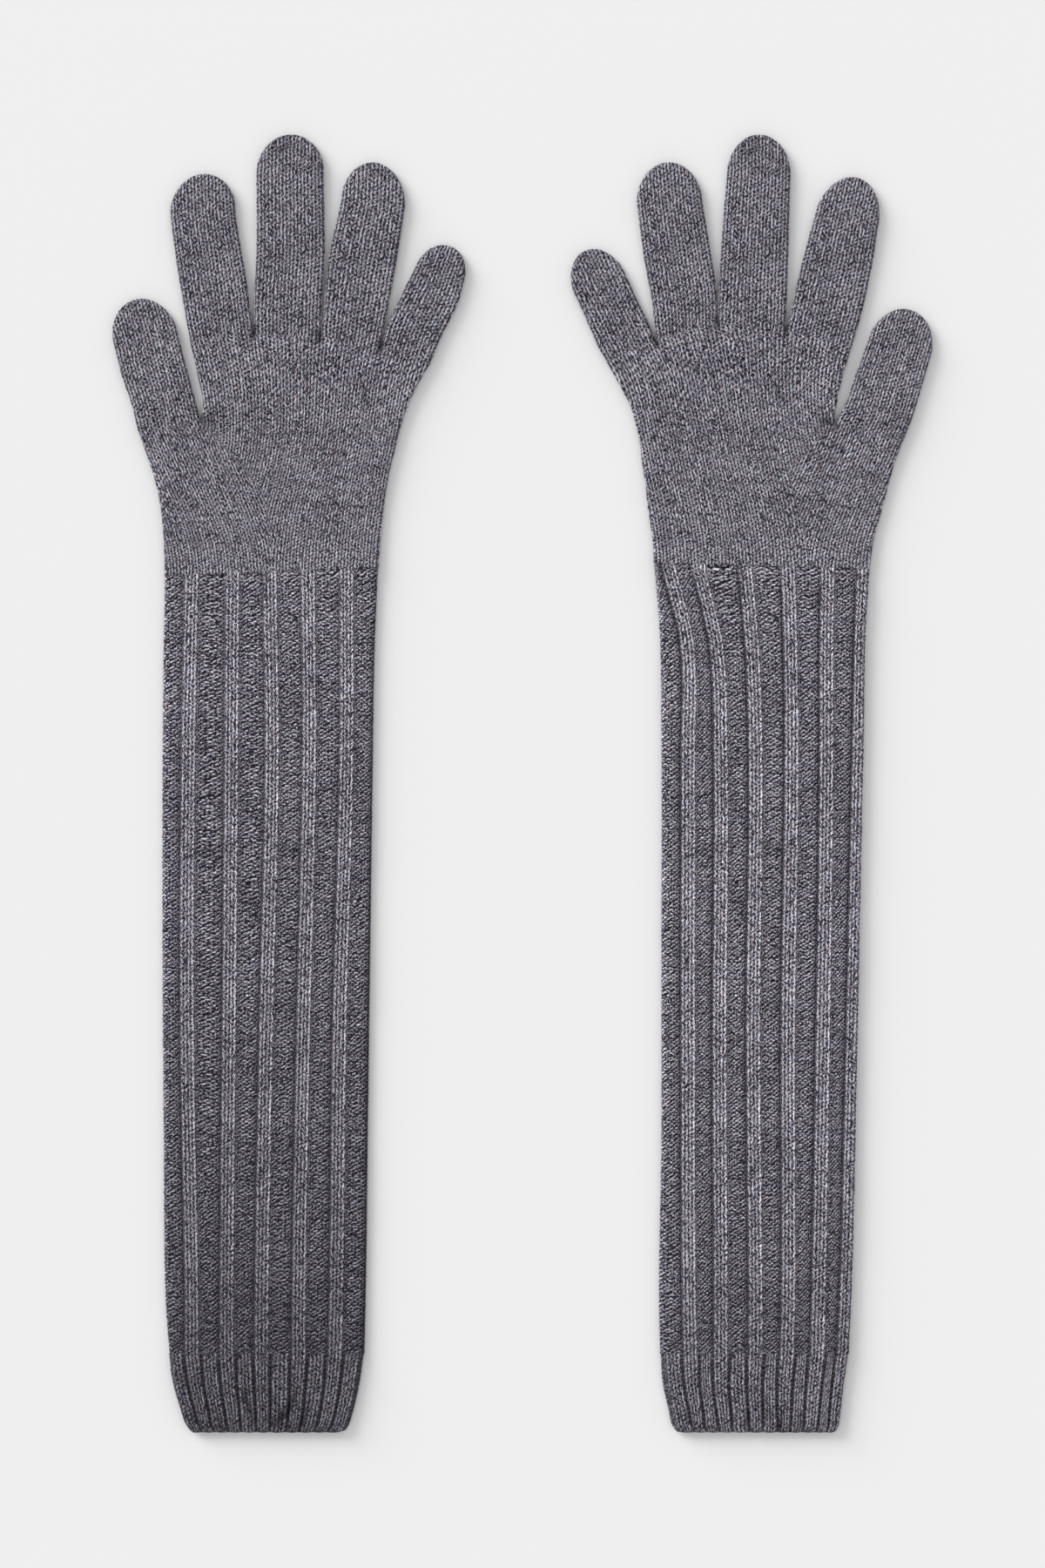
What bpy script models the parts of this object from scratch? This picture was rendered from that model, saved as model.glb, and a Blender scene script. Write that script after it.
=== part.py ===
"""A pair of long knitted gloves, laid flat side by side with the fingertips towards +Y.

Each glove is one knitted tube from hem to fingertips, pressed flat, so its upper layer lies on
its lower one: a ribbed cuff, a ribbed arm, a plain palm in two stretches, a thumb and four
fingers. Each stretch is a hollow wall of its own, and a narrow gap marks the round where the
knitter goes on from one stretch to the next. The fingertips are closed and the hem is open.

Sizes are in millimetres in each glove's own axes: x across from the middle of its hem, y up
from the hem, z up from the table. The gloves aren't mirror images, because they lie a little
differently, so each has its own tables.
"""

from collections import namedtuple

import bpy
import numpy as np

MM = 0.001

WALL = 1.5  # one layer of knitting
SLIT = 0.4  # room between the upper layer and the lower one
THICK = 2 * WALL + SLIT
SEAM_GAP = 0.32  # between stretches that are knitted together
FOLD_ANGLES = (50, 0, -50)  # degrees, points round each side fold

HEM_MIDDLE = {"left": (-109.45, -279.04), "right": (99.86, -279.04)}  # on the table

# Points across each tube's flat stretch. A ribbed upper layer has five for each rib.
RIBBED_UNDERSIDE_POINTS = 10
PALM_POINTS = 9
FINGER_TOP_POINTS = 5
FINGER_UNDERSIDE_POINTS = 3
LEAST_STEP = 0.012  # of half the flat stretch, between points that a side fold pushes together
# Places of each tube's rows along it, as fractions of its length.
CUFF_ROWS = (0.0, 0.04, 0.11, 0.23, 0.42, 0.68, 1.0)
ARM_ROWS = tuple(np.linspace(0, 1, 17))
LOWER_PALM_ROWS = tuple(np.linspace(0, 1, 8))
UPPER_PALM_ROWS = tuple(np.linspace(0, 1, 6))
FINGER_ROWS = tuple(np.linspace(0, 1, 6))
TIP_ANGLES = (18, 36, 53, 68, 80)  # degrees, rows round a fingertip between its last row and its end

# A rib across its width: where its feet and shoulders stand from its middle, and how far the shoulders
# and the middle rise. Its left flank is the steep one.
Rib = namedtuple("Rib", "left_foot left_shoulder right_shoulder right_foot shoulder_rise rise")
ARM_RIB = Rib(-2.9, -2.1, 1.6, 3.0, 0.8, 1.0)
CUFF_RIB = Rib(-2.6, -1.8, 1.5, 2.6, 0.65, 0.8)

# One line across a flat tube, from its left fold to its right fold.
Row = namedtuple("Row", "left_x left_y right_x right_y")
# Where the ribs' middles lie at one height, from left to right.
RibRow = namedtuple("RibRow", "height middles")
# The finger's rows from its root up, and the end of its tip.
Finger = namedtuple("Finger", "rows tip_x tip_y")
# The point where the lower palm's top line turns down on both sides: the thumb's crotch.
Crotch = namedtuple("Crotch", "x y")

CUFFS = {
    "left": (
        Row(-31.5, 0, 30.5, 0),
        Row(-34.5, 2.5, 33.5, 2.5),
        Row(-37.5, 10, 37, 10),
        Row(-40.5, 20.5, 39.5, 20.5),
        Row(-42.5, 34, 41.5, 34),
    ),
    "right": (
        Row(-31.5, 0, 32, 0),
        Row(-35, 2.5, 35, 2.5),
        Row(-37, 9, 36.5, 9),
        Row(-39.5, 20.5, 38, 20.5),
        Row(-40.5, 34, 40, 34),
    ),
}
ARMS = {
    "left": (
        Row(-42.5, 34, 41.5, 34),
        Row(-44, 54, 42, 54),
        Row(-45, 130, 43, 130),
        Row(-45.5, 205, 44, 205),
        Row(-45.5, 280, 45, 280),
        Row(-45, 340, 46, 340),
        Row(-44.5, 368.5, 47.5, 372),
    ),
    "right": (
        Row(-40.5, 34, 40, 34),
        Row(-41, 54, 41, 54),
        Row(-40, 130, 43, 130),
        Row(-40, 205, 44.5, 205),
        Row(-40, 300, 46.5, 300),
        Row(-41, 350, 47.5, 350),
        Row(-43.5, 374, 49.5, 371.5),
    ),
}
ARM_RIBS = {
    "left": (
        RibRow(34, (-32.5, -17.5, -2.5, 13.5, 29)),
        RibRow(54, (-32.5, -17.5, -2.5, 13.5, 29.5)),
        RibRow(174, (-34.5, -16.5, -0.5, 15.5, 31)),
        RibRow(290, (-34, -15.5, 2, 18, 34)),
        RibRow(371, (-32.5, -15, 1, 17.5, 34)),
    ),
    "right": (
        RibRow(34, (-27.5, -14.5, 0.5, 14, 27, 38.5)),
        RibRow(54, (-28, -14.5, 0.5, 14.5, 27.5, 39.5)),
        RibRow(174, (-28.5, -15, -0.5, 14.5, 29.5, 42.5)),
        RibRow(290, (-28.5, -14.5, 0.5, 16, 31, 45)),
        RibRow(339, (-29, -16.5, -1, 15.5, 31, 46)),
        RibRow(371, (-37, -24, -4, 14.5, 31.5, 47)),
    ),
}
LOWER_PALMS = {
    "left": (
        Row(-44.5, 368.5, 47.5, 372),
        Row(-45, 384, 48.5, 384),
        Row(-46.5, 399, 50, 399),
        Row(-50, 414, 52.5, 413.5),
        Row(-55.5, 429, 56.5, 430),
    ),
    "right": (
        Row(-43.5, 374, 49.5, 371.5),
        Row(-44, 384, 51.5, 384),
        Row(-46, 399, 55.5, 399),
        Row(-48, 414, 59.5, 414),
        Row(-50, 429, 64, 426),
    ),
}
THUMB_CROTCH = {"left": Crotch(-29, 435.5), "right": Crotch(34.5, 434)}
UPPER_PALMS = {
    "left": (
        Row(-29, 435.5, 56.5, 430),
        Row(-28, 442.5, 59, 438),
        Row(-30.5, 455, 64, 449.5),
        Row(-33.5, 469, 70, 460),
    ),
    "right": (
        Row(-50, 429, 34.5, 434),
        Row(-53, 440, 35, 440),
        Row(-58, 450, 37, 450),
        Row(-63.5, 460, 42, 467),
    ),
}
FINGERS = {
    "left": {
        "thumb": Finger(
            (
                Row(-55.5, 429, -29, 435.5),
                Row(-59, 443, -33, 450.5),
                Row(-63, 454.5, -36, 462),
                Row(-66, 466.5, -39, 474),
            ),
            -57.5,
            487,
        ),
        "index": Finger(
            (
                Row(-33.5, 469, -6, 472),
                Row(-37.5, 491.5, -9, 494.5),
                Row(-41, 515, -13, 518),
                Row(-42, 523.5, -14, 526.5),
            ),
            -28.5,
            541,
        ),
        "middle": Finger(
            (
                Row(-6, 472, 23, 471),
                Row(-6, 487, 23.5, 487),
                Row(-5, 507.5, 24.5, 507.5),
                Row(-5, 541.5, 24, 541.5),
            ),
            10,
            558,
        ),
        "ring": Finger(
            (
                Row(23, 471, 48.5, 467),
                Row(24, 485, 51.5, 481.5),
                Row(26.5, 507.5, 55.5, 504),
                Row(31.5, 529.5, 59, 526.5),
            ),
            46,
            546,
        ),
        "little": Finger(
            (
                Row(48.5, 467, 70, 460),
                Row(52, 478, 74, 469.5),
                Row(60, 494.5, 82, 486),
                Row(63.5, 501, 84, 493.5),
            ),
            78.5,
            510,
        ),
    },
    "right": {
        "little": Finger(
            (
                Row(-63.5, 460, -42.5, 469.5),
                Row(-68, 468, -46, 478),
                Row(-71.5, 476, -50, 486),
                Row(-77, 488, -55.5, 498),
            ),
            -73,
            508,
        ),
        "ring": Finger(
            (
                Row(-42.5, 469.5, -16, 477),
                Row(-44, 484, -16, 488),
                Row(-48, 507.5, -19.5, 511.5),
                Row(-50.5, 527, -22.5, 530),
            ),
            -38,
            546,
        ),
        "middle": Finger(
            (
                Row(-16, 477, 13.5, 473.5),
                Row(-15.5, 490.5, 14, 489),
                Row(-13.5, 522.5, 15, 522),
                Row(-12, 540, 15.5, 540),
            ),
            2,
            558,
        ),
        "index": Finger(
            (
                Row(13.5, 473.5, 42, 467),
                Row(16.5, 487, 46, 480.5),
                Row(23, 513, 51.5, 507),
                Row(26, 523.5, 53, 517.5),
            ),
            44,
            539.5,
        ),
        "thumb": Finger(
            (
                Row(34.5, 434, 64, 426),
                Row(39, 442, 67, 433.5),
                Row(43, 453.5, 70.5, 444.5),
                Row(49, 470, 75.5, 461.5),
            ),
            67.5,
            482.5,
        ),
    },
}
# The fingers of each glove from left to right, without the thumb.
FINGER_ORDER = {
    "left": ("index", "middle", "ring", "little"),
    "right": ("little", "ring", "middle", "index"),
}

# Linear colour of the mixed grey wool in each stretch.
WOOL = {"hand": (0.165, 0.158, 0.184), "arm": (0.138, 0.133, 0.156), "cuff": (0.075, 0.07, 0.087)}
WOOL_ROUGHNESS = 0.95


def smooth_values(at, places, values):
    """Values at the places `at` on a smooth curve through (places, values), row by row. Each span is
    a cubic whose end slopes are the mean slopes of the spans that meet there."""
    places = np.asarray(places, float)
    values = np.asarray(values, float).reshape(len(places), -1)
    slopes = np.diff(values, axis=0) / np.diff(places)[:, None]
    ends = np.vstack([slopes[:1], (slopes[1:] + slopes[:-1]) / 2, slopes[-1:]])
    span = np.clip(np.searchsorted(places, at, side="right") - 1, 0, len(places) - 2)
    length = np.diff(places)[span][:, None]
    t = (np.asarray(at)[:, None] - places[span][:, None]) / length
    start = (1 + 2 * t) * (1 - t) ** 2 * values[span] + t * (1 - t) ** 2 * length * ends[span]
    end = t**2 * (3 - 2 * t) * values[span + 1] - t**2 * (1 - t) * length * ends[span + 1]
    return start + end


def rows_along(rows, fractions):
    """The tube's rows at these fractions of its length, as an array of left_x, left_y, right_x, right_y."""
    table = np.array(rows, float)
    middles = (table[:, :2] + table[:, 2:]) / 2
    run = np.concatenate([[0], np.cumsum(np.linalg.norm(np.diff(middles, axis=0), axis=1))])
    return smooth_values(np.array(fractions) * run[-1], run, table)


def width_of(row):
    return np.linalg.norm(row[2:] - row[:2])


def narrowed(row, amount):
    """The row with both its ends drawn in by this amount."""
    inward = (row[2:] - row[:2]) / width_of(row) * amount
    return np.concatenate([row[:2] + inward, row[2:] - inward])


def ring(width, height, tops, lifts, unders):
    """The outline of a flat tube cut across, as rows (across, up): along the top, round the right fold,
    back along the flat underside and round the left fold. `tops` and `unders` are places from -1 to 1
    on the flat stretch between the folds, and `lifts` raises each place of the top. The folds are
    quarter ellipses, and the outline's middle lies halfway up the laid glove."""
    level = THICK / 2
    fold = height / 2
    flat = width / 2 - fold
    turn = np.radians(FOLD_ANGLES)
    top = np.column_stack([flat * tops, level + fold + lifts])
    under = np.column_stack([flat * unders[::-1], np.full(len(unders), level - fold)])

    def side(sign, lift, turn):
        rise = np.where(turn > 0, fold + lift, fold)
        return np.column_stack([sign * (flat + fold * np.cos(turn)), level + rise * np.sin(turn)])

    return np.vstack([top, side(1, lifts[-1], turn), under, side(-1, lifts[0], turn[::-1])])


def ribbed_tops(width, middles, rib, squeeze=1.0):
    """Places on a ribbed upper layer's flat stretch, and how far each is raised. A rib has a place at
    each foot, at each shoulder and in its middle, and the side fold cuts off what reaches past it."""
    flat = (width - THICK) / 2
    stands = np.array([rib.left_foot, rib.left_shoulder, 0, rib.right_shoulder, rib.right_foot]) * squeeze
    tops = np.sort(np.concatenate([[-flat, flat], (middles[:, None] + stands).ravel()])) / flat
    from_end = LEAST_STEP * np.arange(len(tops))
    tops = np.clip(tops, from_end - 1, 1 - from_end[::-1])
    profile = (0, rib.shoulder_rise, rib.rise, rib.shoulder_rise, 0)
    lifts = [np.interp(tops * flat, middle + stands, profile) for middle in middles]
    return tops, np.max(lifts, axis=0)


def place(row, outline, bend=None):
    """The outline (across, up) set on its row, as points (x, y, z). `bend` gives how far the line turns
    away from straight, at each fraction of the way across."""
    left, right = row[:2], row[2:]
    fraction = outline[:, :1] / width_of(row) + 0.5
    points = left + (right - left) * fraction
    if bend is not None:
        points += bend(fraction[:, 0])
    return np.column_stack([points, outline[:, 1]])


def leave_seam_gap(rings, last, before):
    """Draws an end's ring half a seam's gap into its own piece."""
    inward = rings[before][:, :2] - rings[last][:, :2]
    rings[last][:, :2] += inward / np.linalg.norm(inward, axis=1, keepdims=True) * SEAM_GAP / 2


def wool(stretch):
    name = "wool_" + stretch
    if name in bpy.data.materials:
        return bpy.data.materials[name]
    material = bpy.data.materials.new(name)
    material.use_nodes = True
    shader = material.node_tree.nodes["Principled BSDF"]
    shader.inputs["Base Color"].default_value = (*WOOL[stretch], 1)
    shader.inputs["Roughness"].default_value = WOOL_ROUGHNESS
    shader.inputs["Metallic"].default_value = 0
    material.diffuse_color = (*WOOL[stretch], 1)
    return material


def build_wall(name, glove, stretch, outer, inner, tips=()):
    """One closed wall from its outer and inner rings, from the hem side up. It is open at both ends, or
    closed at the far one by a tip for each skin."""
    count = len(outer[0])
    rings = [*outer, *inner[::-1]]
    points = np.vstack([*rings, *tips])
    step = np.arange(count)
    following = np.roll(step, -1)
    joins = [(number, (number + 1) % len(rings)) for number in range(len(rings))]
    if len(tips):
        outer_end, inner_end = len(outer) - 1, len(outer)
        joins.remove((outer_end, inner_end))
    faces = []
    for first, second in joins:
        band = [first * count + step, first * count + following]
        band += [second * count + following, second * count + step]
        faces += np.column_stack(band).tolist()
    if len(tips):
        outer_tip, inner_tip = len(points) - 2, len(points) - 1
        outer_fan = [outer_end * count + step, outer_end * count + following]
        inner_fan = [inner_end * count + following, inner_end * count + step]
        faces += np.column_stack([*outer_fan, np.full(count, outer_tip)]).tolist()
        faces += np.column_stack([*inner_fan, np.full(count, inner_tip)]).tolist()
    mesh = bpy.data.meshes.new(name)
    mesh.from_pydata((points * MM).tolist(), [], faces)
    mesh.materials.append(wool(stretch))
    mesh.shade_smooth()
    mesh.set_sharp_from_angle(angle=np.radians(50))
    obj = bpy.data.objects.new(name, mesh)
    obj.parent = glove
    bpy.context.collection.objects.link(obj)


def build_tube(name, glove, stretch, rows, sections, bends=None):
    """A tube that is open at both ends, from its rows and from each row's tops, lifts and unders."""
    bends = bends or [None] * len(rows)
    outer, inner = [], []
    for row, (tops, lifts, unders), bend in zip(rows, sections, bends):
        width = width_of(row)
        outer.append(place(row, ring(width, THICK, tops, lifts, unders), bend))
        inner.append(place(row, ring(width - 2 * WALL, SLIT, tops, 0 * lifts, unders), bend))
    for rings in (outer, inner):
        leave_seam_gap(rings, 0, 1)
        leave_seam_gap(rings, -1, -2)
    build_wall(name, glove, stretch, outer, inner)


def build_cuff(side, glove):
    rows = rows_along(CUFFS[side], CUFF_ROWS)
    seam_width = width_of(rows[-1])
    seam_middle = (rows[-1][0] + rows[-1][2]) / 2
    arm_ribs = np.array(ARM_RIBS[side][0].middles) - seam_middle
    # Every arm rib goes on into the cuff, and one more rib starts on each side of it.
    between = (arm_ribs[1:] + arm_ribs[:-1]) / 2
    ends = [1.5 * arm_ribs[0] - 0.5 * arm_ribs[1], 1.5 * arm_ribs[-1] - 0.5 * arm_ribs[-2]]
    ribs = np.sort(np.concatenate([arm_ribs, between, ends]))
    ribs = ribs[np.abs(ribs) < seam_width / 2]
    unders = np.linspace(-1, 1, RIBBED_UNDERSIDE_POINTS)
    sections = []
    for row in rows:
        squeeze = width_of(row) / seam_width
        sections.append((*ribbed_tops(width_of(row), ribs * squeeze, CUFF_RIB, squeeze), unders))
    build_tube(side + "_cuff", glove, "cuff", rows, sections)


def build_arm(side, glove):
    rows = rows_along(ARMS[side], ARM_ROWS)
    heights = (rows[:, 1] + rows[:, 3]) / 2
    row_middles = (rows[:, :1] + rows[:, 2:3]) / 2
    table = ARM_RIBS[side]
    places = [rib_row.height for rib_row in table]
    ribs = smooth_values(np.clip(heights, places[0], places[-1]), places, [r.middles for r in table])
    unders = np.linspace(-1, 1, RIBBED_UNDERSIDE_POINTS)
    sections = []
    for row, row_ribs in zip(rows, ribs - row_middles):
        sections.append((*ribbed_tops(width_of(row), row_ribs, ARM_RIB), unders))
    build_tube(side + "_arm", glove, "arm", rows, sections)


def build_palm(name, glove, table, fractions, top_line):
    """A palm stretch between its rows, whose lines turn from straight at the bottom into `top_line`, the
    corners from left to right that its last row runs through."""
    rows = rows_along(table, fractions)
    corners = np.array(top_line, float)
    run = np.concatenate([[0], np.cumsum(np.linalg.norm(np.diff(corners, axis=0), axis=1))])
    corner_fractions = run / run[-1]
    straight = corners[0] + (corners[-1] - corners[0]) * corner_fractions[:, None]
    off_straight = corners - straight

    def bend_of(amount):
        def bend(fraction):
            columns = [np.interp(fraction, corner_fractions, off_straight[:, axis]) for axis in (0, 1)]
            return np.column_stack(columns) * amount

        return bend

    # Each span between two corners gets its share of the points, so that a seam follows every corner.
    shares = np.maximum(1, np.round(np.diff(corner_fractions) * PALM_POINTS)).astype(int)
    spans = zip(corner_fractions[:-1], corner_fractions[1:], shares)
    inner_points = [np.linspace(low, high, share, endpoint=False) for low, high, share in spans]
    across = np.append(np.concatenate(inner_points), 1.0)
    sections = []
    for row in rows:
        flat = (width_of(row) - THICK) / 2
        tops = np.clip((across - 0.5) * width_of(row) / flat, -1, 1)
        sections.append((tops, np.zeros(len(tops)), tops))
    build_tube(name, glove, "hand", rows, sections, [bend_of(fraction) for fraction in fractions])


def build_finger(name, glove, finger):
    """A tube that is open at its root and closed by a round tip, half an ellipse on its last row."""
    rows = rows_along(finger.rows, FINGER_ROWS)
    rows[0] = narrowed(rows[0], SEAM_GAP / 2)
    tops = np.linspace(-1, 1, FINGER_TOP_POINTS)
    lifts = np.zeros(FINGER_TOP_POINTS)
    unders = np.linspace(-1, 1, FINGER_UNDERSIDE_POINTS)
    outer = [place(row, ring(width_of(row), THICK, tops, lifts, unders)) for row in rows]
    inner = [place(row, ring(width_of(row) - 2 * WALL, SLIT, tops, lifts, unders)) for row in rows]
    leave_seam_gap(outer, 0, 1)
    leave_seam_gap(inner, 0, 1)

    middle = (rows[-1][:2] + rows[-1][2:]) / 2
    half = (rows[-1][2:] - rows[-1][:2]) / 2
    reach = np.array([finger.tip_x, finger.tip_y]) - middle
    reach_length = np.linalg.norm(reach)
    inner_reach = reach * (1 - WALL / reach_length)
    inner_half = half * (1 - WALL / np.linalg.norm(half))
    fold = THICK / 2
    for angle in np.radians(TIP_ANGLES):
        from_end = min(reach_length * (1 - np.sin(angle)), fold)
        height = 2 * np.sqrt(fold**2 - (fold - from_end) ** 2)
        skins = ((outer, reach, half, height), (inner, inner_reach, inner_half, SLIT))
        for rings, far, wide, high in skins:
            centre = middle + far * np.sin(angle)
            row = np.concatenate([centre - wide * np.cos(angle), centre + wide * np.cos(angle)])
            rings.append(place(row, ring(width_of(row), high, tops, lifts, unders)))
    tips = [np.array([*(middle + far), THICK / 2]) for far in (reach, inner_reach)]
    build_wall(name, glove, "hand", outer, inner, tips)


def build_glove(side):
    x, y = HEM_MIDDLE[side]
    glove = bpy.data.objects.new(side + "_glove", None)
    glove.location = (x * MM, y * MM, 0)
    bpy.context.collection.objects.link(glove)
    build_cuff(side, glove)
    build_arm(side, glove)

    lower, upper, fingers = LOWER_PALMS[side], UPPER_PALMS[side], FINGERS[side]
    crotch = THUMB_CROTCH[side]
    lower_top = [lower[-1][:2], (crotch.x, crotch.y), lower[-1][2:]]
    build_palm(side + "_lower_palm", glove, lower, LOWER_PALM_ROWS, lower_top)
    roots = [fingers[name].rows[0] for name in FINGER_ORDER[side]]
    upper_top = [roots[0][:2], *[root[2:] for root in roots]]
    build_palm(side + "_upper_palm", glove, upper, UPPER_PALM_ROWS, upper_top)
    for name, finger in fingers.items():
        build_finger(side + "_" + name, glove, finger)


def main():
    for obj in list(bpy.data.objects):
        bpy.data.objects.remove(obj, do_unlink=True)
    for side in ("left", "right"):
        build_glove(side)


main()
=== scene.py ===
import bmesh
import bpy
import numpy as np
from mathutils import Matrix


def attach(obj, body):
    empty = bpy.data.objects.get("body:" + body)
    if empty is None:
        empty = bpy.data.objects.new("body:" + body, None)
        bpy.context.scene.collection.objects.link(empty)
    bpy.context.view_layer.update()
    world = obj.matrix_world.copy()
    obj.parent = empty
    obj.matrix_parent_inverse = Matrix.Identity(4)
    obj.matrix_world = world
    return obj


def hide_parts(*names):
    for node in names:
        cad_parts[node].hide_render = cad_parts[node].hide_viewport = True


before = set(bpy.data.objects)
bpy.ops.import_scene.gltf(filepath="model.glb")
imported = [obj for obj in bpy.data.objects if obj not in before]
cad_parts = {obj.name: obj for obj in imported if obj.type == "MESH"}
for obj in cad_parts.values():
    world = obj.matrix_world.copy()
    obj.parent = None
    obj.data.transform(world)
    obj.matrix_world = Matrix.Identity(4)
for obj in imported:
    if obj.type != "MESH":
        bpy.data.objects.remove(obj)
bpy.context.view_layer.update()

# ---- The cuffs ----
# A glove is knitted from its hem up, from one marled grey wool yarn. The cuff is a springy rib of two
# knit wales and one purl wale in turn, so it draws in towards the hem, whose edge puckers a little.
# The pair lies flat, so each stretch is a pressed tube, its upper layer on its lower one.

MM = 0.001
COURSE = 1.8  # mm, one row of stitches along the tube
WALL = 1.5  # mm, one layer of knitting
SLIT = 0.4  # mm, room between the two layers
FOLD = WALL + SLIT / 2  # mm, radius of a side fold, half the laid glove's thickness
STITCH_DEPTH = 0.45  # mm, from a stitch's top down to the gaps beside it
PROUD = 0.2  # mm, how far stitches stand over the plain thickness on the upper layer
LEG_RISE = 0.8  # courses that one stitch's yarn climbs from the wale's middle to its side
DASH_CLIMB = 0.2  # courses that the drawn dashes climb over a purl wale, from left to right
RIB_HALF = 3.1  # mm, half of an arm rib, one knit wale stretched over the rib's bulge
PURL_WALE = 2.45  # mm to a purl wale, by which those between the last rib and a fold are counted
ROUND_WALES = 66  # wales all round a cuff or an arm
LAP = 0.25  # mm that one stretch's wall runs on under the next

# The hems' middles on the table, and each glove's own axes: x across, y up from the hem, in mm.
HEM_MIDDLE = {"left": (-109.45, -279.04), "right": (99.86, -279.04)}

# The outline: left_x, left_y, right_x, right_y of lines across the tube.
CUFF_LINES = {
    "left": [(-33.2, 0, 32, 0), (-35, 2.5, 34.2, 2.5), (-37.5, 10, 37, 10), (-40.5, 20.5, 39.5, 20.5),
             (-42.5, 34, 41.5, 34)],
    "right": [(-34, 0, 34.2, 0), (-35.6, 2.5, 35.6, 2.5), (-37, 9, 36.5, 9), (-39.5, 20.5, 38, 20.5),
              (-40.5, 34, 40, 34)],
}
# Where the arm's ribs go on into the cuff, from left to right at the cuff's top.
SEAM_RIBS = {"left": (-32.5, -17.5, -2.5, 13.5, 29), "right": (-27.5, -14.5, 0.5, 14, 27, 38.5)}
# A cuff's rib across, in wales from its middle and in mm over the plain cloth.
CUFF_PROFILE = ((-1.5, -0.7), (-1.17, -0.45), (-0.95, 0.4), (-0.3, 0.75),
                (0.6, 0.85), (0.95, 0.5), (1.25, -0.4), (1.5, -0.7))
# How light the wool is painted up from the hem: partly its own tone, and partly painted shade, since the
# drawn-in rib lies in its own shade.
TONE_AND_SHADE = {"left": [(0, 0.27), (34, 0.36), (80, 0.52), (200, 0.74), (330, 0.86), (372, 0.91)],
         "right": [(0, 0.44), (34, 0.58), (80, 0.75), (200, 0.89), (330, 0.9), (372, 0.89)]}
UNDER_HOLLOW = 0.6  # mm, how far the purl stretches lie off the table
UNDER_CREASE = 0.5  # mm, the deepest that a crease of the lower layer gets
UNDER_SPREAD = 2.0  # times as wide as the crease above it
# Soft troughs pressed into the upper layer: x, y, direction in degrees, length, width, depth in mm.
CUFF_TROUGHS = {
    "left": [(9, 10, 64, 18, 1.6, 0.7), (4, 5, 50, 9, 1.4, 0.6), (-8, 11, 108, 16, 1.3, 0.7),
             (16, 7, 70, 14, 1.5, 0.6), (-21, 6, 112, 12, 1.3, 0.5)],
    "right": [(-3, 5, 92, 10, 1.2, 0.9), (11.5, 5, 80, 12, 1.2, 0.9), (-10, 10, 110, 16, 1.2, 0.6),
              (4, 10, 125, 14, 1.3, 0.5), (20, 5, 96, 9, 1.2, 0.6)],
}
CREASE_SHADE = 0.3  # painted shade in ribbed cloth, for each mm that it is pressed in
HEM_ROUND = 1.3  # mm of the cuff's length over which its rim rounds off
HEM_THIN = 0.8  # mm that the rim is drawn in
HEM_SCALLOP = 0.15  # mm that ribs end lower, and hollows higher, at the hem
INNER_ROWS = 14  # rows of points in a ribbed tube's plain inside
PAINTED_LIT_LEG = (0.75, 0.2)  # the leg given a painted highlight, as if it caught the light: wales from its rib's middle, and wide
# The bake's own map: its margin, and the parts of it that upper layers and outer skins take up.
BAKE_EDGE, BAKE_UPPER, BAKE_OUTER = 0.002, 0.64, 0.9


def smooth_values(at, places, values):
    """Values at the places `at` on a smooth curve through (places, values), row by row. Each span is
    a cubic whose end slopes are the mean slopes of the spans that meet there."""
    places = np.asarray(places, float)
    values = np.asarray(values, float).reshape(len(places), -1)
    slopes = np.diff(values, axis=0) / np.diff(places)[:, None]
    ends = np.vstack([slopes[:1], (slopes[1:] + slopes[:-1]) / 2, slopes[-1:]])
    span = np.clip(np.searchsorted(places, at, side="right") - 1, 0, len(places) - 2)
    length = np.diff(places)[span][:, None]
    t = (np.asarray(at)[:, None] - places[span][:, None]) / length
    start = (1 + 2 * t) * (1 - t) ** 2 * values[span] + t * (1 - t) ** 2 * length * ends[span]
    end = t**2 * (3 - 2 * t) * values[span + 1] - t**2 * (1 - t) * length * ends[span + 1]
    return start + end


def run_along(points):
    """How far along its path each point lies: the sum of the straight steps up to it."""
    return np.concatenate([[0], np.cumsum(np.linalg.norm(np.diff(points, axis=0), axis=1))])


def lines_length(lines):
    """How long a tube is along its middle, and where its lines lie along it."""
    lines = np.array(lines, float)
    run = run_along((lines[:, :2] + lines[:, 2:]) / 2)
    return run[-1], run


def widths(lines):
    """How long each line across a tube is, as a column."""
    return np.linalg.norm(lines[:, 2:] - lines[:, :2], axis=1)[:, None]


def round_the_tube(width, run, fold):
    """A point of a flat tube cut across, `run` mm round one layer from the middle of its left fold: a
    quarter circle of radius `fold`, a flat stretch and a quarter circle. It gives how far across and
    how high over the tube's middle the point lies, and the same two parts of its outward normal."""
    quarter = np.pi / 2 * fold
    flat = width - 2 * fold
    turn_in = np.clip(run / fold, 0, np.pi / 2)
    turn_out = np.clip((run - quarter - flat) / fold, 0, np.pi / 2)
    across = fold * (1 - np.cos(turn_in)) + np.clip(run - quarter, 0, flat) + fold * np.sin(turn_out)
    up = fold * (np.sin(turn_in) - 1 + np.cos(turn_out))
    return across, up, np.sin(turn_out) - np.cos(turn_in), np.sin(turn_in) * np.cos(turn_out)


def layer_run(width, fold):
    """How long one layer is round a flat tube, from fold to fold."""
    return width + (np.pi - 2) * fold


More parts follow.
